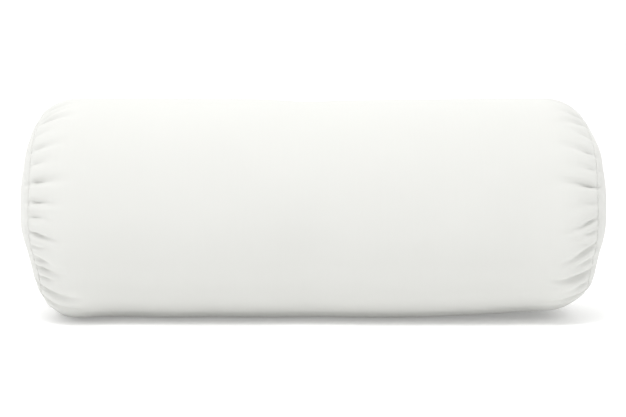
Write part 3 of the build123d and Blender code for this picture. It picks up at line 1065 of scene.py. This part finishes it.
def hem_stitches(name, side, node):
    """The lockstitches that hold the hem to its tape."""
    random = Random(3)
    count = int(2 * TAPE_HALF_LENGTH / STITCH_PITCH)
    runs = []
    for stitch in range(count):
        x = (stitch + 0.5 - count / 2) * STITCH_PITCH
        across = side * (TOPSTITCH_LINE + random.uniform(-0.08, 0.08) * MM)
        run = []
        for share, rise in ((-0.43, -0.25), (-0.3, 0.08), (0.3, 0.08), (0.43, -0.25)):
            run.append(on_wrap(x + share * STITCH_PITCH, across + share * 0.3 * MM, rise * MM))
        runs.append(run)
    finish_piece(name, thread_mesh(name, runs, 0.2 * MM), "sewing_thread", [node])


def bar_tack(name, side, node):
    """Dense zigzag stitches across one end of the slit."""
    passes = 30
    run = []
    for step in range(passes + 1):
        across = BAR_TACK_HALF_WIDTH * (2 * step / passes - 1)
        for share, rise in ((-1, -0.15), (-0.7, 0.25), (0.7, 0.25), (1, -0.15))[:: 1 if step % 2 else -1]:
            x = side * BAR_TACK_X + share * 0.85 * MM
            run.append(on_wrap(x, across, rise * MM))
    finish_piece(name, thread_mesh(name, [run], 0.18 * MM), "sewing_thread", [node])


def cast_piece(name, node, body, rounding):
    """A cast or crimped metal part with its edges rounded."""
    bm = bmesh.new()
    bm.from_mesh(frame["nodes"][node].data)
    bmesh.ops.remove_doubles(bm, verts=bm.verts[:], dist=0.002 * MM)
    bmesh.ops.dissolve_limit(bm, angle_limit=radians(1), verts=bm.verts[:], edges=bm.edges[:])
    bmesh.ops.recalc_face_normals(bm, faces=bm.faces[:])
    piece = finish_piece(name, to_mesh(bm, name), "zip_metal", [node], body)
    bevel = piece.modifiers.new("rounding", "BEVEL")
    bevel.width = rounding
    bevel.segments = 3
    bevel.limit_method = "ANGLE"
    bevel.angle_limit = radians(35)
    bevel.harden_normals = True


def build_zip():
    """The tapes, coils, stops, slider and pull, their stitches, and the label sewn in beside them."""
    for name, side in (("upper", 1), ("lower", -1)):
        across = sorted(side * edge for edge in TAPE_EDGES)
        tape_along = (-TAPE_HALF_LENGTH, TAPE_HALF_LENGTH)
        tape = ("zip_tape", TAPE_THICKNESS, f"zip_tape_{name}")
        cloth_strip(f"tape_{name}", tape_along, across, TAPE_FACE, (110, 8), *tape)
        coil(f"coil_{name}", side, 0 if side > 0 else COIL_PITCH / 2, f"zip_coil_{name}")
        hem_stitches(f"hem_stitches_{name}", side, f"zip_topstitch_{name}")
    for name, side in (("left", -1), ("right", 1)):
        bar_tack(f"bar_tack_{name}", side, f"zip_bar_tack_{name}")
    cast_piece("top_stops", "zip_top_stops", "pillow", 0.25 * MM)
    cast_piece("bottom_stop", "zip_bottom_stop", "pillow", 0.25 * MM)
    cast_piece("slider", "zip_slider", "slider", 0.15 * MM)
    cast_piece("pull", "zip_pull", "pull", 0.12 * MM)
    ribbon = ("label_ribbon", 0.2 * MM, "care_label")
    cloth_strip("label", LABEL_X, LABEL_ACROSS, LABEL_FACE, (24, 28), *ribbon, wave=0.8 * MM)


# ---------------------------------------------------------------- stage, light and camera

PILLOW_MIDDLE = Vector((0, 0, AXIS_HEIGHT))


def build_floor():
    """A white table that reaches the horizon and glows faintly, as a lit one does."""
    bm = bmesh.new()
    bmesh.ops.create_grid(bm, x_segments=1, y_segments=1, size=30.0)
    floor = bpy.data.objects.new("floor", to_mesh(bm, "floor"))
    bpy.context.scene.collection.objects.link(floor)
    material, _, shader = new_material("pale_floor")
    shader.inputs["Base Color"].default_value = (0.93, 0.93, 0.93, 1)
    shader.inputs["Emission Color"].default_value = (1, 1, 1, 1)
    shader.inputs["Emission Strength"].default_value = 0.15
    shader.inputs["Roughness"].default_value = 0.9
    shader.inputs["Specular IOR Level"].default_value = 0.2
    floor.data.materials.append(material)


def build_light():
    """A bright room, brighter towards the back and overhead, and one large soft lamp above the front."""
    brightest_way = (-0.1, 0.45, 0.76)
    room_glow, overhead_glow = 0.61, 0.94
    world = bpy.data.worlds.new("studio")
    bpy.context.scene.world = world
    world.use_nodes = True
    tree = world.node_tree
    sky = tree.nodes.new("ShaderNodeTexCoord")
    facing = tree.nodes.new("ShaderNodeVectorMath")
    facing.operation = "DOT_PRODUCT"
    facing.inputs[1].default_value = brightest_way
    tree.links.new(sky.outputs["Generated"], facing.inputs[0])
    share = math_node(tree, "MAXIMUM", facing.outputs["Value"], 0.0)
    strength = math_node(tree, "MULTIPLY_ADD", share, overhead_glow)
    strength.node.inputs[2].default_value = room_glow
    tree.links.new(strength, tree.nodes["Background"].inputs[1])
    tree.nodes["Background"].inputs[0].default_value = (1, 1, 1, 1)

    lamp_at = Vector((-0.2, -0.9, 1.8))
    light = bpy.data.lights.new("key", "AREA")
    light.size = 0.6
    light.energy = 15
    lamp = bpy.data.objects.new("key", light)
    bpy.context.scene.collection.objects.link(lamp)
    lamp.location = lamp_at
    lamp.rotation_euler = (PILLOW_MIDDLE - lamp_at).to_track_quat("-Z", "Y").to_euler()


def build_camera():
    """A long lens in front of the pillow, looking slightly down."""
    distance, elevation = 1.51, radians(6)
    camera = bpy.data.cameras.new("camera")
    camera.lens = 93
    eye = bpy.data.objects.new("camera", camera)
    bpy.context.scene.collection.objects.link(eye)
    eye.location = PILLOW_MIDDLE + Vector((0, -cos(elevation), sin(elevation))) * distance
    eye.rotation_euler = (PILLOW_MIDDLE - eye.location).to_track_quat("-Z", "Y").to_euler()
    bpy.context.scene.camera = eye
    bpy.context.scene.view_settings.view_transform = "Standard"


cover, outward = shaped_cover()
build_cover(cover, outward)
build_inner_pillow(cover, outward)
build_zip()
build_floor()
build_light()
build_camera()
